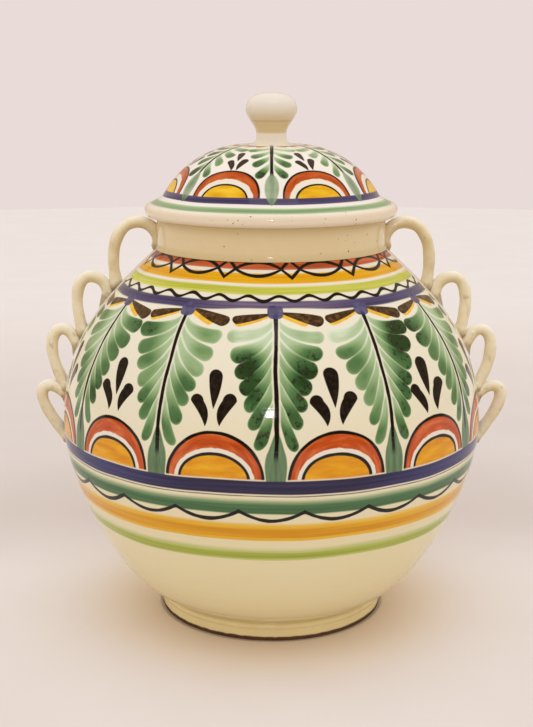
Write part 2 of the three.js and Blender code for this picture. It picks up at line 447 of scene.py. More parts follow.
body = shown(
    spun("jar_wall", body_outline, body_runs, body_finishes),
    "jar_wall", "jar", "painted_glaze", "jar_body", "jar_shoulder",
)

# %% [markdown]
# ## Foot and neck
#
# The foot ring is turned when the jar is leather hard: a straight ring, a soft ridge and a
# groove where it meets the body. Its edge on the table is wiped clean of glaze. The neck is a
# plain collar with a softened rim that the lid stands on.

# %% Foot ring and neck collar
def rounded(corner_list, radius=0.8, steps=3):
    """An outline with every corner softened."""
    points = []
    corner_array = [np.array(corner, float) for corner in corner_list]
    count = len(corner_array)
    for i, corner in enumerate(corner_array):
        before, after = corner_array[i - 1], corner_array[(i + 1) % count]
        to_before, to_after = np.linalg.norm(before - corner), np.linalg.norm(after - corner)
        reach = min(radius, to_before / 2.2, to_after / 2.2)
        a = corner + (before - corner) / to_before * reach
        b = corner + (after - corner) / to_after * reach
        points.extend(curve(a, (a + 2 * corner) / 3, (b + 2 * corner) / 3, b, steps))
    return np.array(points)


foot_outline = rounded([
    (62, 0), (74, 0), (74, 7.4), (74.9, 9), (74.9, 10), (73.5, 12), (73.4, 15), (62, FOOT_TOP - 0.5),
])
foot = shown(
    spun("foot", foot_outline, [0.0] * len(foot_outline), closed=True),
    "foot", "jar", "foot_clay", "foot_ring",
)
neck_outline = rounded([
    (67, NECK_BASE - 0.6), (73.8, NECK_BASE - 0.6), (75.4, NECK_BASE - 0.6),
    (74.2, NECK_BASE + 1.6), (NECK_RADIUS, NECK_BASE + 4),
    (NECK_RADIUS, SEAT - 6), (NECK_RADIUS, SEAT), (67, SEAT), (67, SEAT - 8),
], 1.0)
neck = shown(
    spun("neck", neck_outline, neck_outline[:, 1], closed=True),
    "neck", "jar", "ivory_glaze", "neck_collar",
)

# %% [markdown]
# ## The lid
#
# The lid is thrown upside down, as a shallow bowl with a rounded brim, and turned true. Its
# painted side runs from the rounded brim up the sloping band and over the dome. Under it is
# plain glaze and a ring that drops into the neck. The knob is turned on last.

# %% Dome, flange and knob
BRIM = 81.5
BRIM_ROUND = 3.5
JAR_TOP = 340.0
DOME_START = (69.8, SEAT + 13)
KNOB_SEAT = SEAT + 45.4
FLANGE_INSIDE = 59.5
dome = curve(DOME_START, (59.5, SEAT + 31.7), (40, KNOB_SEAT), (14.8, KNOB_SEAT), 48)
brim_middle = BRIM - BRIM_ROUND
quarter = np.linspace(0, math.pi / 2, 7)
brim_low = np.column_stack([
    brim_middle + BRIM_ROUND * np.sin(quarter), SEAT + BRIM_ROUND - BRIM_ROUND * np.cos(quarter),
])
brim_high = np.column_stack([
    brim_middle + BRIM_ROUND * np.cos(quarter), SEAT + 4.8 + BRIM_ROUND * np.sin(quarter),
])
slope = np.array([
    (brim_middle - 8.2 * t, SEAT + 8.3 + 4.7 * t ** 1.15) for t in np.linspace(0, 1, 7)
])[1:-1]
lid_top = np.vstack([brim_low, brim_high, slope, dome])
lid_runs = runs(lid_top, DOME_START)
hollow = offset_line(dome, -6.0)
hollow = hollow[hollow[:, 0] < FLANGE_INSIDE - 1][::-3]
lid_outline = np.vstack([
    [(FLANGE_INSIDE, SEAT)], lid_top, [(0, KNOB_SEAT), (0, KNOB_SEAT - 6)],
    hollow, [(FLANGE_INSIDE, hollow[-1][1] - 1.2)],
])
lid_finishes = [0 if 1 <= row < len(lid_top) + 1 else 1 for row in range(len(lid_outline))]
lid_all_runs = [-30.0] + list(lid_runs) + [float(lid_runs[-1])] * 2 + [-30.0] * (len(hollow) + 1)
lid = shown(
    spun("lid", lid_outline, lid_all_runs, lid_finishes, closed=True),
    "lid", "lid", "lid_glaze", "lid_dome",
)
flange_outline = rounded([
    (FLANGE_INSIDE, SEAT - 14), (65.5, SEAT - 14), (65.5, SEAT + 0.5), (FLANGE_INSIDE, SEAT + 0.5),
], 1.2)
flange = shown(
    spun("flange", flange_outline, [0.0] * len(flange_outline), closed=True),
    "flange", "lid", "foot_clay", "lid_flange",
)
KNOB_WAIST = (9.6, KNOB_SEAT + 6.5)
KNOB_WIDEST = (16.4, KNOB_SEAT + 21.7)
knob_outline = np.vstack([
    [(0, KNOB_SEAT - 0.4), (14.9, KNOB_SEAT - 0.4)],
    curve((14.8, KNOB_SEAT), (9.6, KNOB_SEAT), (9.6, KNOB_SEAT + 3.2), KNOB_WAIST, 12),
    curve(KNOB_WAIST, (9.6, KNOB_SEAT + 11.6), (16.4, KNOB_SEAT + 16.6), KNOB_WIDEST, 14)[1:],
    curve(KNOB_WIDEST, (16.4, KNOB_SEAT + 27.2), (12.3, JAR_TOP), (0, JAR_TOP), 18)[1:],
])
knob = shown(
    spun("knob", knob_outline, knob_outline[:, 1] - KNOB_SEAT),
    "knob", "lid", "ivory_glaze", "lid_knob",
)

# %% [markdown]
# ## The coil handles
#
# Each handle is a coil of clay rolled on the table, bent into a loop and pressed on, with slip
# worked round its ends so that it grows out of the wall. A bevelled curve gives an even tube.
# Sweeping the rings in code lets the coil swell into its feet and keep the small lumps of the
# rolling hand, and lets every point carry how far it is from the nearest foot.

# %% Loops on the two sides
COIL = 3.85
UPPER_FLARE, LOWER_FLARE = 0.2, 1.2
LOOPS = (
    (0, 26, (-5.6, 20), (11, 55.2)),
    (32.9, 56.9, (-3.6, 14.3), (13.6, 51.7)),
    (65.1, 94.1, (8.6, 22.4), (20.5, 35)),
    (99.1, 128.7, (9.7, 12.1), (31.8, 37.6)),
)


def on_wall(depth):
    """The place on the outer wall at a depth below the neck."""
    height = NECK_BASE - depth
    upper = wall[len(wall) // 3:]
    return np.array([np.interp(height, upper[:, 1], upper[:, 0]), height])


def rooted(point, way, smeared=False, depth=4.2):
    """Where the foot of a coil ends inside the wall.

    A smeared foot runs on down the wall as it sinks.
    """
    along = on_wall(NECK_BASE - point[1] + 0.5) - on_wall(NECK_BASE - point[1] - 0.5)
    inward = np.array([along[1], -along[0]]) / np.linalg.norm(along)
    inward *= -np.sign(inward[0])
    slant = inward * 0.45 - way / np.linalg.norm(way) * 0.9
    if smeared:
        slant = inward * 0.3 + along / np.linalg.norm(along) * 0.95
    return point + slant * depth / slant.dot(inward)


def coil_rings(loop, steps=46):
    """Middle line of a loop with its feet sunk in the wall, and each point's distance to a foot."""
    start, end = on_wall(loop[0]), on_wall(loop[1])
    leave, arrive = np.array(loop[2], float), np.array(loop[3], float)
    line = curve(start, start + leave, end + arrive, end, steps)
    first, last = rooted(start, leave, loop[0] > 0), rooted(end, arrive)
    line = np.vstack([np.linspace(first, start, 5)[:-1], line, np.linspace(end, last, 5)[1:]])
    length = np.concatenate([[0], np.cumsum(np.linalg.norm(np.diff(line, axis=0), axis=1))])
    head, tail = np.linalg.norm(start - first), np.linalg.norm(end - last)
    from_foot = np.minimum(length - head, length[-1] - tail - length)
    sunk = np.maximum(np.maximum(1 - length / head, 1 - (length[-1] - length) / tail), 0)
    return line, length, from_foot, sunk


def rolled(name, loop, side, sides=24):
    """One coil on a side of the jar, fuller at its lower foot and lumpy from the rolling hand."""
    line, length, from_foot, sunk = coil_rings(loop)
    along = np.gradient(line, axis=0)
    along /= np.linalg.norm(along, axis=1)[:, None]
    corners, carried, faces = [], [], []
    for k, ((x, z), (dx, dz)) in enumerate(zip(line, along)):
        flare = UPPER_FLARE if k < len(line) / 2 else LOWER_FLARE
        swell = flare * math.exp(-max(from_foot[k], 0) / 3.0) - 2.6 * sunk[k]
        lump = 0.13 * math.sin(length[k] / 5.1 + 2 * side + loop[0]) + 0.1 * math.sin(length[k] / 2.3)
        for i in range(sides):
            angle = 2 * math.pi * i / sides
            radius = COIL + swell + lump + 0.12 * math.sin(2 * angle + length[k] / 14)
            out, depth = radius * math.cos(angle), radius * math.sin(angle)
            px, pz = x - dz * out, z + dx * out
            if pz > SEAT - 0.4 and px < BRIM + 0.4:
                pz = SEAT - 0.4
            corners.append((side * px * MM, side * depth * MM, pz * MM))
            carried.append(from_foot[k])
    for k in range(len(line) - 1):
        for i in range(sides):
            j = (i + 1) % sides
            faces.append((k * sides + i, k * sides + j, (k + 1) * sides + j, (k + 1) * sides + i))
    faces.append(tuple(range(sides)))
    faces.append(tuple(range((len(line) - 1) * sides, len(line) * sides))[::-1])
    return clay_mesh(name, corners, faces, "from_foot", carried)


coils = []
for side, word in ((1, "right"), (-1, "left")):
    for number, loop in enumerate(LOOPS, 1):
        name = f"coil_{word}_{number}"
        coil = shown(rolled(name, loop, side), name, "jar", "handle_glaze", f"handle_{word}_{number}")
        coils.append(coil)

# %% [markdown]
# ## The ivory glaze
#
# Tin glaze is a warm, creamy white, a little yellower where it pools, with a deep shine. Low on
# each piece, under the brim and in creases it is also painted yellower and darker, as painted
# shade, and paler on top, as painted light. One colour would look like plastic, so slow mottling
# changes the thickness of the glaze, throwing lines run faintly round the wall, and a fine skin of
# bumps breaks the reflections. The same ground lies under all of the painting.

# %% Ground of the glaze
CLEAN = "eae0cc"
POOLED_AND_SHADED = "ebdcac"


def carried(name):
    """A number that the points of the mesh carry."""
    return Field(node("Attribute", attribute_name=name).outputs["Fac"])


def ivory(where, height, low=20.0, high=250.0, clean=CLEAN, pooled_shade_colour=POOLED_AND_SHADED):
    """Colour of the bare glaze: yellower and darker low down, partly where the glaze runs down and pools
    and partly as painted shade.
    """
    pooled_and_shaded = fade(height + mottle(where, 0.02, 3) * (high - low) * 0.28, high, low)
    return shades(pooled_and_shaded + mottle(where, 0.11, 4) * 0.16, (0.0, clean), (1.0, pooled_shade_colour))


def pinholes(below, where, cover=1.0):
    """The few dark pits that gas leaves in a thick glaze."""
    pits = fade(mottle(where, 0.62, 0) - mottle(where, 0.03, 0) * 0.4, 0.35, 0.39)
    return lay(below, tint("8a6844"), pits * cover)


def skin(shader, where, depth=0.25, rings=0.12):
    """The relief of the glaze: throwing lines round the wall and a fine orange peel."""
    x, y, z = separate(where)
    lines = mottle(spot(x * 0.004, y * 0.004, z * 0.28), 1.0, 2) * rings
    relief = lines + mottle(where, 0.14, 2) * depth * 0.3 + mottle(where, 0.9, 1) * 0.012
    bump = node("Bump")
    bump.inputs["Strength"].default_value = 1.0
    bump.inputs["Distance"].default_value = MM
    plug(relief, bump.inputs["Height"])
    plug(Field(bump.outputs[0]), shader.inputs["Normal"])


def glossy(shader, where, low=0.04, high=0.1):
    """Shine of the glaze, a little uneven."""
    plug(between(mottle(where, 0.05, 3) + 0.5, low, high), shader.inputs["Roughness"])
    shader.inputs["IOR"].default_value = 1.5
    shader.inputs["Specular IOR Level"].default_value = 0.34


KNOB_CREASE = 322.0
plain_glaze, shader = new_material("ivory_glaze")
where = object_place()
z = separate(where)[2]
# painted shade: darker in the crease at the foot of the neck and under the lid's brim
crease_and_brim_shade = fade(z, NECK_BASE + 5, NECK_BASE - 1) + fade(z, SEAT - 8.0, SEAT - 1.0) * 0.6
# the neck and the lower knob are yellow ochre and the knob's top near white: partly pooled glaze, partly
# painted shade under the brim and painted light on top
ground = ivory(where, z, 318.0, 336.0, "f8f1ea", "e3cb9c")
ground = lay(ground, tint("b99d68"), crease_and_brim_shade * 0.5)
# a darker line round the knob's bulb: pooled glaze and painted shade
from_crease = reckon("ABSOLUTE", z - KNOB_CREASE + mottle(where, 0.1, 1))
ground = lay(ground, tint("b08c52"), fade(from_crease, 1.0, 0.1) * 0.35)
knob_foot = fade(z, KNOB_SEAT + 7.4, KNOB_SEAT + 6.6) * fade(z, KNOB_SEAT - 6.0, KNOB_SEAT - 4.0)
ground = lay(ground, tint("f3e9d8"), knob_foot * 0.7)
plug(pinholes(ground, where, fade(z, SEAT + 20.0, SEAT)), shader.inputs["Base Color"])
glossy(shader, where)
skin(shader, where)
for piece in (neck, knob):
    piece.data.materials.append(plain_glaze)
print("plain glaze:", len(plain_glaze.node_tree.nodes), "nodes")

# %% [markdown]
# The coils take the same glaze, in streaks. Their tops are painted pale and their undersides
# straw, as painted light and shade, and they are painted darker high up, as shade under the
# brim. Round their feet they turn olive brown, where the glaze pools in the joint and painted
# shade falls.

# %% Coil glaze
coil_glaze, shader = new_material("coil_glaze")
where = object_place()
x, y, z = separate(where)
from_foot = carried("from_foot")
threads = mottle(spot(x * 0.22, y * 0.9, z * 0.16), 1.0, 3)
pooled_and_shaded = fade(from_foot + mottle(where, 0.3, 2) * 6, 3.5, -1.0)
streaks = fade(threads, 0.10, 0.26) * 0.5
# painted light and shade: paler where the coil faces up, straw where it faces down, and darker high on the
# neck, under the brim
facing = Field(node("TexCoord").outputs["Normal"])
up = separate(facing)[2] + mottle(where, 0.14, 3) * 0.9 - fade(z, 205.0, 240.0) * 0.35
ground = shades(fade(up, 1.0, -0.9), (0.0, "f8eedd"), (0.45, "eedfbd"), (1.0, "d3ba86"))
ground = lay(ground, tint("a89460"), streaks)
# darker olive brown round the feet: glaze pooled in the joint, and painted shade
ground = lay(ground, tint("7d6334"), pooled_and_shaded * 0.55)
plug(ground, shader.inputs["Base Color"])
glossy(shader, where)
skin(shader, where, 0.3, 0.0)
for piece in coils:
    piece.data.materials.append(coil_glaze)
print("coil glaze:", len(coil_glaze.node_tree.nodes), "nodes")

# %% [markdown]
# ## Bare clay
#
# The foot is dipped in glaze with the jar, and its edge is then wiped, so a thin line of brown
# clay shows where it stands. Its underside and the ring under the lid stay bare.

# %% Foot clay
foot_clay, shader = new_material("wiped_clay")
where = object_place()
x, y, z = separate(where)
radius = reckon("SQRT", x * x + y * y)
wiped = fade(z + mottle(where, 0.25, 3) * 1.2, 3.2, 2.2)
bare = reckon("MAXIMUM", wiped, fade(radius, 68.5, 67.0))
# painted shade: darker in the groove where the foot meets the body
groove = fade(reckon("ABSOLUTE", z - 12.2), 1.8, 0.2)
ground = lay(tint("eed9a0"), tint("c2a464"), groove * 0.6)
ground = lay(ground, tint("dcc182"), fade(mottle(where, 0.06, 3), -0.1, 0.3) * 0.4)
clay = shades(mottle(where, 0.7, 5) + 0.5, (0.2, "3d2411"), (0.8, "6b4526"))
plug(lay(ground, clay, bare), shader.inputs["Base Color"])
plug(between(bare, 0.16, 0.85), shader.inputs["Roughness"])
skin(shader, where, 0.3, 0.1)
for piece in (foot, flange):
    piece.data.materials.append(foot_clay)
print("foot clay:", len(foot_clay.node_tree.nodes), "nodes")

# %% [markdown]
# ## A brush stroke
#
# A loaded brush that is pressed down and dragged leaves a drop with one round end. It is the
# shape of two circles of different size and a full skin stretched over them. The group below
# says, for any point, how deep it lies inside such a stroke and how far along it is. All the
# leaves, drops and petals of the jar are this one group with other numbers.

# %% Stroke group
def new_group(name, takes, gives):
    """An empty node group with its inputs and outputs, and the node that gives the inputs."""
    group = bpy.data.node_groups.new(name, "ShaderNodeTree")
    for label, kind in takes.items():
        group.interface.new_socket(label, in_out="INPUT", socket_type="NodeSocket" + kind)
    for label, kind in gives.items():
        group.interface.new_socket(label, in_out="OUTPUT", socket_type="NodeSocket" + kind)
    Field.tree = group
    entry = group.nodes.new("NodeGroupInput")
    return group, {label: Field(entry.outputs[label]) for label in takes}


def close_group(group, **results):
    """Give the group its results."""
    out = group.nodes.new("NodeGroupOutput")
    for label, value in results.items():
        plug(value, out.inputs[label])


def use(group, **values):
    """One group node with these inputs, and its outputs by name."""
    made = node("Group", node_tree=group)
    for label, value in values.items():
        plug(value, made.inputs[label])
    return {socket.name: Field(socket) for socket in made.outputs}


def arrows(operation, *values, scale=None):
    """Vector Math: sums on places and directions."""
    made = node("VectorMath", operation=operation)
    for value, socket in zip(values, made.inputs):
        plug(value, socket)
    if scale is not None:
        plug(scale, made.inputs["Scale"])
    return Field(made.outputs["Value" if operation in ("DOT_PRODUCT", "LENGTH") else "Vector"])


STROKE = {"Spot": "Vector", "Start": "Vector", "End": "Vector", "StartWidth": "Float", "EndWidth": "Float"}
stroke_group, given = new_group("brush_stroke", STROKE, {"Depth": "Float", "Along": "Float"})
to_spot = arrows("SUBTRACT", given["Spot"], given["Start"])
drawn = arrows("SUBTRACT", given["End"], given["Start"])
share = arrows("DOT_PRODUCT", to_spot, drawn) / arrows("DOT_PRODUCT", drawn, drawn)
share = reckon("MINIMUM", reckon("MAXIMUM", share, 0.0), 1.0)
fullness = 1.0 - reckon("POWER", 1.0 - share, 1.6)
off_line = arrows("LENGTH", arrows("SUBTRACT", to_spot, arrows("SCALE", drawn, scale=share)))
half_width = between(fullness, given["StartWidth"], given["EndWidth"])
close_group(stroke_group, Depth=half_width - off_line, Along=share)
print("stroke group:", len(stroke_group.nodes), "nodes")

# %% [markdown]
# ## A leaf in glass-green
#
# The green is a thin copper wash. It is palest where the brush has been dragged, darkest in the
# round end where the last of the load is set down, and it leaves a pale seam where one leaf laps
# over the next. A leaf therefore takes the tone and cover of what is already painted and gives
# back both with itself on top.

# %% Leaf group
leaf_group, given = new_group(
    "leaf",
    {**STROKE, "Load": "Float", "ToneBelow": "Float", "CoverBelow": "Float"},
    {"Tone": "Float", "Cover": "Float"},
)
stroke = use(stroke_group, **{name: given[name] for name in STROKE})
cover = fade(stroke["Depth"], -0.5, 0.5)
seam = fade(stroke["Depth"], 1.9, -0.3) * between(stroke["Along"], 0.27, 0.13)
pool = fade(stroke["Along"], 0.0, 0.85)
bristles = mottle(spot(stroke["Depth"] * 0.5, stroke["Along"] * 2.0, given["Load"] * 2.0), 1.0, 2)
tone = between(pool, 0.24, 0.62) + given["Load"] * between(pool, 0.3, 1.0) + bristles * 0.16 - seam
close_group(
    leaf_group,
    Tone=between(cover, given["ToneBelow"], tone),
    Cover=reckon("MAXIMUM", given["CoverBelow"], cover),
)
print("leaf group:", len(leaf_group.nodes), "nodes")

# %% [markdown]
# ## Finding the way round the jar
#
# A painter divides the jar by eye: twelve stems round the body and seven round the lid, with an
# arch between each two. The sums below turn a place on the clay into the painter's measures:
# how far round, how far up, which stem is nearest and how far it is to the side.

# %% Painter's measures
def painters_measures(where, stems, first, wander=1.0):
    """How far up the wall and round it a point is, and where it is among the stems.

    The hand wanders a little, so every measure is bent by slow noise.
    """
    x, y, z = separate(where)
    drift = mottle(where, 0.018, 1)
    run = carried("run") + drift * 2.4 * wander
    radius = reckon("SQRT", x * x + y * y)
    turn = reckon("ARCTAN2", x, y * -1.0) * (180 / math.pi)
    turn = turn + mottle(where, 0.026, 1) * 1.3 * wander
    step = 360 / stems
    sectors = (turn - first) / step
    nearest = reckon("ROUND", sectors)
    gap = reckon("FLOOR", sectors)
    wide = radius * (step * math.pi / 180)
    side = (sectors - nearest) * wide
    return {
        "run": run, "turn": turn, "radius": radius, "z": z, "where": where, "side": side,
        "stem": reckon("WRAP", nearest, stems, 0.0), "gap": reckon("WRAP", gap, stems, 0.0),
        "from_left": (sectors - gap) * wide, "from_right": (gap + 1.0 - sectors) * wide,
        "middle": (sectors - gap - 0.5) * wide,
    }


# %% [markdown]
# ## Fronds
#
# Each stem carries leaves on both sides. They are the same strokes, mirrored, so the distance
# from the stem is taken without its sign. A leaf is not straight: it starts steeply beside the
# stem and then swings outward. Bending the whole sheet of places near the stem bends every leaf
# at once. Slow noise strays the places, and each half of a frond has its own load of the brush,
# so that no two fronds match.

# %% Frond, stem and spear leaf
GREENS = (
    (0.0, "d7dec2"), (0.2, "b2c298"), (0.42, "88a26e"), (0.62, "597b4a"), (0.82, "375a30"), (1.0, "223c1a"),
)
BLACK = tint("0d0805")


def bend(x, run, curl):
    """Lower places beside the stem, so that strokes drawn straight come out curved."""
    if isinstance(x, Field):
        return run - reckon("EXPONENT", x * (-1 / 6)) * curl
    return run - math.exp(-x / 6) * curl


def stray(where, scale, amount):
    """A small shift of a place, different all over the jar."""
    made = node("TexNoise")
    plug(where, made.inputs["Vector"])
    made.inputs["Scale"].default_value = scale
    made.inputs["Detail"].default_value = 1.0
    return arrows("MULTIPLY", arrows("SUBTRACT", Field(made.outputs["Color"]), (0.5, 0.5, 0.5)), amount)


BRUSH_LOADS = (
    0.42, 0.5, 0.25, 0.44, 0.4, 0.34, 0.54, 0.3, 0.42, 0.6, 0.36, 0.5,
    0.6, 0.32, 0.46, 0.56, 0.36, 0.62, 0.44, 0.3, 0.32, 0.46, 0.4, 0.22,
)
HEAVY_SPOTS = ((-6.0, 60.0), (41.0, 82.0))
SHEEN_TURN = 6.0


def brush_load(half):
    """How full the brush was for each half of a frond, counted round the jar from the front."""
    made = node("ValToRGB")
    plug((half + 0.5) / len(BRUSH_LOADS), made.inputs[0])
    ramp = made.color_ramp
    ramp.interpolation = "CONSTANT"
    while len(ramp.elements) < len(BRUSH_LOADS):
        ramp.elements.new(1.0)
    for i, (element, level) in enumerate(zip(ramp.elements, BRUSH_LOADS)):
        element.position = i / len(BRUSH_LOADS)
        element.color = (level, level, level, 1.0)
    return Field(made.outputs[0]) - 0.4


def frond(m, leaves, root, curl, strip, shift=(4.0, 5.0, 0.0)):
    """Tone and cover of all the leaves beside the stems.

    Root is half the width of a stroke at the stem, curl is how far it bends down there, and strip
    is what stays bare beside the stem. The brush is fuller towards the foot of a frond and at the
    heavy spots, each a turn and a run. The first leaves at the front are painted paler, as a
    painted reflection of a window.
    """
    x = reckon("ABSOLUTE", m["side"])
    seed = m["stem"] * 2.0 + reckon("GREATER_THAN", m["side"], 0.0)
    place = arrows("ADD", spot(x, bend(x, m["run"], curl)), stray(m["where"], 0.03, shift))
    load = mottle(spot(x * 0.03 + seed * 7.31, m["run"] * 0.042, seed * 3.17), 1.0, 1) * 1.3
    rise = m["run"] / leaves[0][0][1]
    load = load * 0.75 + brush_load(seed) + fade(rise, 0.75, 0.3) * 0.12
    for turn, run in HEAVY_SPOTS:
        across, up = (m["turn"] - turn) * 1.9, m["run"] - run
        load = load + fade(reckon("SQRT", across * across + up * up), 22.0, 8.0) * 0.34
    # painted sheen: the first leaves at the front are painted paler, as the reflection of a window
    first_leaves = fade(m["run"], leaves[1][1][1] - 2.0, leaves[0][1][1] - 1.0)
    painted_sheen = first_leaves * fade(reckon("ABSOLUTE", m["turn"] - SHEEN_TURN), 24.0, 14.0)
    load = load - painted_sheen * 0.42
    tone, cover = 0.0, 0.0
    for (x0, y0), (x1, y1), width in leaves:
        # a fuller brush is darker and leaves a wider cap
        made = use(
            leaf_group, Spot=place, Start=(x0, bend(x0, y0, curl), 0), End=(x1, bend(x1, y1, curl), 0),
            StartWidth=root, EndWidth=load * 1.1 + width, Load=load, ToneBelow=tone, CoverBelow=cover,
        )
        tone, cover = made["Tone"], made["Cover"]
    return tone, cover * fade(x, strip - 0.5, strip + 0.9)


def greens(tone, where):
    """Colour of the wash, with the crust that forms where it is laid on too thick."""
    lumps = mottle(where, 0.3, 3)
    crust = fade(lumps, 0.02, 0.12) * fade(tone, 0.62, 0.8)
    crusted = shades(fade(lumps, 0.08, 0.26), (0.0, "17160d"), (1.0, "5d5140"))
    return lay(shades(tone, *GREENS), crusted, crust * 0.85)


def line(distance, half, where):
    """Cover of a liner brush along the places where distance is 0."""
    worn = half * (mottle(where, 0.1, 2) * 0.8 + 1.0)
    return fade(reckon("ABSOLUTE", distance) - worn, 0.3, -0.3)


BODY_LEAVES = (
    ((2.3, 93.0), (24.2, 84.2), 4.7), ((2.3, 86.5), (21.8, 73.4), 5.0), ((2.3, 79.5), (18.6, 63.6), 5.0),
    ((2.3, 71.0), (15.8, 54.0), 4.8), ((2.3, 63.0), (13.4, 44.8), 4.6), ((2.3, 54.2), (10.9, 35.0), 4.5),
    ((2.3, 41.8), (8.0, 23.2), 4.2),
)

# %% [markdown]
# ## Arches, drops and bands
#
# The arches between the stems are fat ellipses: the power in the sum below makes them fuller
# than an ellipse at the shoulders. Measuring along the line from the centre gives a true
# thickness for the black outline, the orange ring and the yellow sun inside. Bands are made on
# the turning wheel, so their streaks run round the jar.

# %% Arch, drop and band
def arch(x, y, half, top, power=2.06):
    """How deep a place lies inside a round-headed arch, in millimetres."""
    wide = reckon("POWER", reckon("ABSOLUTE", x) / half, power)
    high = reckon("POWER", reckon("ABSOLUTE", y) / top, power)
    reach = reckon("POWER", wide + high, 1 / power)
    return reckon("SQRT", x * x + y * y) * (1.0 / reach - 1.0)


def drop(place, tail, cap, width, tail_width=0.25, curved=0.0):
    """Cover of one drop, from its thin tail to its round cap.

    A curved one leaves its tail upright.
    """
    if curved:
        x, y = separate(place)[:2]
        share = (y - tail[1]) * (1 / (cap[1] - tail[1]))
        share = reckon("MINIMUM", reckon("MAXIMUM", share, 0.0), 1.0)
        place = spot(x + share * (1.0 - share) * (cap[0] - tail[0]) * curved, y)
    made = use(
        stroke_group, Spot=place, Start=(*tail, 0), End=(*cap, 0), StartWidth=tail_width, EndWidth=width,
    )
    return fade(made["Depth"], -0.25, 0.3)


def lemon_paint(where):
    """The yellow under the petals."""
    return shades(mottle(where, 0.3, 2) + 0.5, (0.2, "e3a024"), (0.8, "f4cb4c"))


def together(*covers):
    """The cover of several strokes of the same colour."""
    total = covers[0]
    for cover in covers[1:]:
        total = reckon("MAXIMUM", total, cover)
    return total


def band(run, low, high, soft=0.45, top_soft=None):
    """Cover of a band between two heights. The brush may leave its upper edge softer."""
    top_soft = top_soft or soft
    return fade(run, low - soft, low + soft) * fade(run, high + top_soft, high - top_soft)


def brushed(where, run, dark, light, spread=2.2):
    """A banding colour: lighter and darker streaks that run round the jar."""
    x, y = separate(where)[:2]
    streak = mottle(spot(x * 0.012, y * 0.012, run * 0.55), 1.0, 3) * spread + 0.5
    return shades(streak, (0.1, dark), (0.9, light))


YELLOWS = ((0.1, "d27e04"), (0.5, "e2980c"), (0.9, "edae20"))
ORANGES = ((0.1, "a7400e"), (0.5, "c6511a"), (0.95, "da7a42"))


def suns(m, below, sizes, pen=0.95, oranges=ORANGES, yellows=YELLOWS):
    """Orange arches with a yellow sun inside and black outlines, between the stems.

    Sizes gives half the width and the height of the outline, of the orange's inside and of the sun.
    """
    (outer_half, outer_top), (ring_half, ring_top), (sun_half, sun_top) = sizes
    x = m["middle"] + mottle(m["where"], 0.05, 1) * 2.0
    y = m["run"]
    above = fade(y, 0.6, 1.6)
    outer = arch(x, y, outer_half, outer_top)
    ring = arch(x, y, ring_half, ring_top)
    sun = arch(x, y, sun_half, sun_top)
    round_it = spot(reckon("ARCTAN2", x, y) * 1.6, outer * 0.35, m["gap"] * 5.3)
    orange = shades(mottle(round_it, 1.0, 3) * 1.7 + 0.5, *oranges)
    yellow = shades(mottle(spot(x * 0.05, y * 0.2, m["gap"] * 3.1), 1.0, 3) * 1.8 + 0.5, *yellows)
    ragged = mottle(m["where"], 0.25, 2) * 1.6
    colour = lay(below, orange, fade(outer, 0.2, 0.8) * above)
    colour = lay(colour, tint(CLEAN), fade(ring + ragged, -0.2, 0.5) * above)
    colour = lay(colour, yellow, fade(sun + ragged * 0.5, 0.4, 1.0) * above)
    lines = together(line(outer - 0.9, pen, m["where"]), line(sun - 0.8, pen, m["where"]))
    return lay(colour, BLACK, lines * above)


# %% [markdown]
# ## The painted body
#
# The layers go on in the order in which a painter would lay them, from the washes to the black
# liner. Everything below the purple belly line is banded on the wheel. The bands of the shoulder
# stop short of the handles, where the brush has to be lifted.

# %% Bands of the body
body_glaze, shader = new_material("painted_glaze")
where = object_place()
m = painters_measures(where, stems=12, first=1.2)
run, radius, z = m["run"], m["radius"], m["z"]
from_handle = reckon("ABSOLUTE", reckon("ABSOLUTE", m["turn"]) - 90.0) * radius * (math.pi / 180)
# yellower and darker low on the belly: pooled glaze and painted shade
colour = ivory(where, z)
# each row: the two colours, the lower and upper edge, their softness, and how well it covers
for dark, light, low, high, soft, top_soft, cover in (
    ("a9b44a", "c6cb78", -55.0, -46.8, 0.5, 2.4, 0.95),
    ("949e2c", "aeb53e", -53.8, -49.2, 0.9, 0.9, 0.8),
    ("e6ac20", "efc03c", -39.6, -27.6, 0.4, 1.6, 1.0),
    ("d48c06", "e6a816", -37.6, -31.0, 0.5, 1.3, 0.95),
    ("7c9a66", "a2b68a", -20.9, -11.8, 0.5, 1.6, 0.95),
    ("2d552f", "426d43", -20.4, -14.0, 0.4, 1.4, 0.92),
):
    laid = band(run, low, high, soft, top_soft) * cover
    colour = lay(colour, brushed(where, run, dark, light), laid)
SCALLOPS = 22
hang = reckon("ABSOLUTE", reckon("FRACT", m["turn"] * (SCALLOPS / 360) + 0.488) * 2.0 - 1.0)
scallop = run + 25.2 - reckon("POWER", hang, 1.9) * 6.2
colour = lay(colour, BLACK, line(scallop, 1.25, where))
print("bands:", len(body_glaze.node_tree.nodes), "nodes so far")

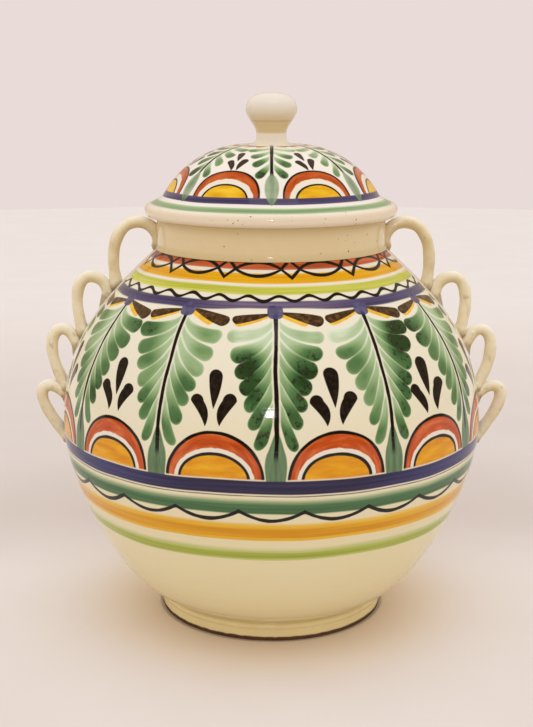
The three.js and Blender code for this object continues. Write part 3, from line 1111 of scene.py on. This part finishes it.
# %% Fronds, spears and arches of the body
SPEAR_TALL, SPEAR_HALF = 31.0, 6.3
BODY_ARCHES = ((29.4, 28.4), (23.8, 18.6), (21.2, 15.9))
LEAF_GAP = 0.17
tone, cover = frond(m, BODY_LEAVES, root=3.3, curl=12.0, strip=1.9)
blank = fade(from_handle, radius * LEAF_GAP - 1.0, radius * LEAF_GAP + 1.5)
colour = lay(colour, greens(tone, where), cover * blank)
spear = node("FloatCurve")
plug(run / SPEAR_TALL, spear.inputs["Value"])
for position, height in ((0.0, 0.92), (0.12, 0.98), (0.35, 1.0), (0.62, 0.66), (0.85, 0.3), (1.0, 0.0)):
    if position in (0.0, 1.0):
        point = spear.mapping.curves[0].points[0 if position == 0 else -1]
        point.location = (position, height)
    else:
        spear.mapping.curves[0].points.new(position, height)
spear.mapping.update()
side = reckon("ABSOLUTE", m["side"])
inside_spear = Field(spear.outputs[0]) * SPEAR_HALF - side
spear_cover = fade(inside_spear, -0.3, 0.6) * band(run, -1.0, 30.5, 0.6)
spear_tone = mottle(spot(side * 0.5, run * 0.08, m["stem"]), 1.0, 2) * 0.5
spear_tone = spear_tone + fade(side, 1.6, 0.2) * 0.14 + 0.70
spear_green = shades(spear_tone, (0.3, "86a277"), (0.6, "5f7f56"), (0.9, "3c5c38"))
colour = suns(m, colour, BODY_ARCHES)
colour = lay(colour, spear_green, spear_cover * 0.95 * blank)
stem = line(m["side"], 1.2, where) * band(run, 13.0, 100.0, 3.0)
colour = lay(colour, BLACK, stem)
print("fronds:", len(body_glaze.node_tree.nodes), "nodes so far")

# %% Petals, knots, drops and shoulder bands of the body
to_right = arrows("ADD", spot(m["from_left"], run), stray(where, 0.02, (3.0, 3.0, 0.0)))
to_left = arrows("ADD", spot(m["from_right"], run), stray(where, 0.02, (3.0, 3.0, 0.0)))
lit = together(
    drop(to_right, (5.0, 98.6), (17.0, 93.6), 2.8, 1.8),
    drop(to_left, (5.5, 97.6), (21.6, 93.4), 2.9, 1.0),
)
colour = lay(colour, lemon_paint(where), lit * blank)
petals = together(
    drop(to_right, (5.0, 100.4), (25.2, 93.9), 3.7, 0.9),
    drop(to_left, (4.5, 99.4), (22.6, 95.0), 2.9, 0.9),
)
petal_brown = shades(mottle(where, 0.4, 3) * 1.5 + 0.5, (0.1, "24160a"), (0.5, "48301a"), (0.95, "755530"))
colour = lay(colour, petal_brown, petals * blank)
BAND_GAP = 0.16
round_end = reckon("POWER", reckon("ABSOLUTE", run - 106.0) / 5.0, 2.0) * 0.8
shoulder = fade(from_handle - round_end, radius * BAND_GAP, radius * BAND_GAP + 1.2)
from_front = reckon("ABSOLUTE", m["turn"])
# the shoulder purple is painted lighter at the front of the jar, as painted sheen, and darker towards the
# handles
purple = lay(
    brushed(where, run, "544464", "7c6a80"), brushed(where, run, "332b4c", "524a6e"),
    fade(from_front, 10.0, 36.0),
)
toward_side = fade(from_front, 6.0, 26.0)
purple_band = band(run, 103.6 - toward_side * 2.0, 108.8 - toward_side * 0.7, 0.7)
colour = lay(colour, purple, purple_band * shoulder)
knots = fade(arch(m["side"], run - 100.9, 4.9, 5.0, 3.0), -0.2, 0.6)
colour = lay(colour, shades(mottle(where, 0.25, 3) + 0.5, (0.3, "38325a"), (0.7, "5c5478")), knots * 0.95)
drops_at = arrows("ADD", spot(m["middle"], run), stray(where, 0.025, (3.0, 4.0, 0.0)))
drops = together(
    drop(drops_at, (-1.4, 41.2), (-1.6, 59.8), 4.3),
    drop(drops_at, (-5.9, 31.0), (-11.8, 44.8), 4.0, 0.15, 1.3),
    drop(drops_at, (3.0, 31.4), (8.2, 45.8), 4.4, 0.15, 1.3),
)
colour = lay(colour, shades(mottle(where, 0.4, 3) + 0.5, (0.4, "0d0805"), (0.9, "33241a")), drops)
belly_line = lay(
    brushed(where, run, "231c38", "3b3454", 1.6), brushed(where, run, "2e2a56", "484675", 1.6),
    fade(from_front, 18.0, 48.0),
)
belly_covers = together(band(run, -7.9, 0.3, 0.4), line(run + 9.1, 0.35, where) * 0.8)
colour = lay(colour, belly_line, belly_covers)
print("petals and drops:", len(body_glaze.node_tree.nodes), "nodes so far")

# %% Neck bands of the body
WAVES, DIAMONDS = 33, 13
stop = fade(from_handle, radius * BAND_GAP, radius * BAND_GAP + 1.5)
colour = lay(colour, brushed(where, run, "b3b238", "d3cf5e"), band(run, 113.4, 119.4, 0.8) * stop)
colour = lay(colour, brushed(where, run, "db9406", "ebb214"), band(run, 121.6, 129.2, 0.7) * stop)
colour = lay(colour, brushed(where, run, "a8431c", "d06a3a", 3.0), band(run, 132.0, 139.4, 0.5) * stop)
waves = reckon("SINE", m["turn"] * (WAVES * math.pi / 180)) * 1.9
colour = lay(colour, BLACK, line(run - waves - 110.6, 1.2, where) * stop)
period = 360 / DIAMONDS
place_round = (reckon("FRACT", (m["turn"] - 8.2) / period + 0.5) - 0.5) * radius * (period * math.pi / 180)
up = reckon("ABSOLUTE", run - 132.4)
diamond = (6.6 - reckon("ABSOLUTE", place_round) * 1.15 - up) * 0.66
from_lens = radius * (period * math.pi / 360) - reckon("ABSOLUTE", place_round)
lens = (5.2 - reckon("POWER", from_lens / 13.6, 2.0) * 5.2 - up) * 0.85
chain = line(reckon("MAXIMUM", diamond, lens), 1.05, where) * fade(run, 122.5, 124.5)
colour = lay(colour, BLACK, chain * stop)
plug(colour, shader.inputs["Base Color"])
glossy(shader, where)
skin(shader, where)
body.data.materials.append(body_glaze)
print("painted body:", len(body_glaze.node_tree.nodes), "nodes")

# %% Plain glaze inside
inner_glaze, shader = new_material("inner_glaze")
where = object_place()
# yellower and darker deeper inside: pooled glaze and painted shade
plug(ivory(where, separate(where)[2], 0.0, 300.0), shader.inputs["Base Color"])
glossy(shader, where, 0.15, 0.3)
skin(shader, where)
body.data.materials.append(inner_glaze)
print("inner glaze:", len(inner_glaze.node_tree.nodes), "nodes")

# %% [markdown]
# ## The painted lid
#
# The lid repeats the body's pattern on a smaller scale, seven times round, with four leaves a
# side. The same functions paint it with other numbers.

# %% Lid painting
lid_glaze, shader = new_material("painted_lid_glaze")
where = object_place()
m = painters_measures(where, stems=7, first=0.3, wander=0.7)
run = m["run"]
# the brim is painted yellower and darker than the dome: pooled glaze and painted shade
colour = ivory(where, run, -14.0, -8.0, "efe5d9", "e8d4b8")
colour = pinholes(colour, where, fade(run, -7.0, -10.0))
LID_LEAVES = (
    ((1.2, 52.5), (12.5, 48.6), 2.7), ((1.2, 46.0), (10.4, 39.8), 3.0), ((1.3, 38.5), (9.0, 31.0), 3.2),
    ((1.5, 29.5), (6.9, 21.4), 3.2),
)
LID_ARCHES = ((23.8, 25.2), (19.6, 18.0), (16.6, 14.3))
tone, cover = frond(m, LID_LEAVES, root=2.3, curl=5.0, strip=1.2, shift=(2.0, 2.5, 0.0))
colour = lay(colour, greens(tone * 1.02, where), cover)
LID_YELLOWS = ((0.1, "d08810"), (0.45, "e6aa18"), (0.85, "f2c430"))
LID_ORANGES = ((0.1, "9a3c0c"), (0.5, "c05018"), (0.95, "d06e38"))
colour = suns(m, colour, LID_ARCHES, 0.62, LID_ORANGES, LID_YELLOWS)
colour = lay(colour, BLACK, line(m["side"], 1.05, where) * band(run, 21.0, 64.0, 1.0))
to_right = spot(m["from_left"], run)
to_left = spot(m["from_right"], run)
lit = together(
    drop(to_right, (2.0, 58.0), (8.0, 56.0), 1.5), drop(to_left, (2.0, 58.0), (8.5, 55.6), 1.5),
)
colour = lay(colour, lemon_paint(where), lit)
petals = together(
    drop(to_right, (1.5, 60.5), (9.5, 58.6), 1.6), drop(to_left, (1.5, 60.3), (9.0, 58.4), 1.6),
)
colour = lay(colour, tint("4a3325"), petals)
drops_at = spot(m["middle"], run)
drops = together(
    drop(drops_at, (-0.4, 34.2), (-1.3, 42.4), 2.3),
    drop(drops_at, (-1.3, 25.2), (-4.6, 32.6), 2.4, 0.25, 0.8),
    drop(drops_at, (2.0, 25.4), (4.2, 34.0), 2.5, 0.25, 0.8),
)
colour = lay(colour, shades(mottle(where, 0.5, 3) + 0.5, (0.4, "1b100a"), (0.9, "4a3223")), drops)
colour = lay(colour, brushed(where, run, "3a3150", "5b5074"), band(run, 0.0, 4.3, 0.35))
side = reckon("ABSOLUTE", m["side"])
inside_spear = 4.6 - reckon("POWER", reckon("ABSOLUTE", run - 11.0) / 12.2, 2.4) * 4.6 - side
spear_tone = mottle(where, 0.12, 2) + fade(side, 2.5, 0.4) * 0.2 + 0.4
spear_green = shades(spear_tone, (0.25, "93a87e"), (0.75, "4a6a40"))
colour = lay(colour, spear_green, fade(inside_spear, -0.2, 0.9) * 0.85)
colour = lay(colour, brushed(where, run, "93ad7c", "b7caa2"), band(run, -9.2, -3.4, 0.7))
colour = lay(colour, brushed(where, run, "6b8a55", "87a36e"), band(run, -8.2, -4.6, 0.7) * 0.8)
plug(colour, shader.inputs["Base Color"])
glossy(shader, where)
skin(shader, where, 0.25, 0.06)
lid.data.materials.append(lid_glaze)
lid.data.materials.append(inner_glaze)
print("painted lid:", len(lid_glaze.node_tree.nodes), "nodes")
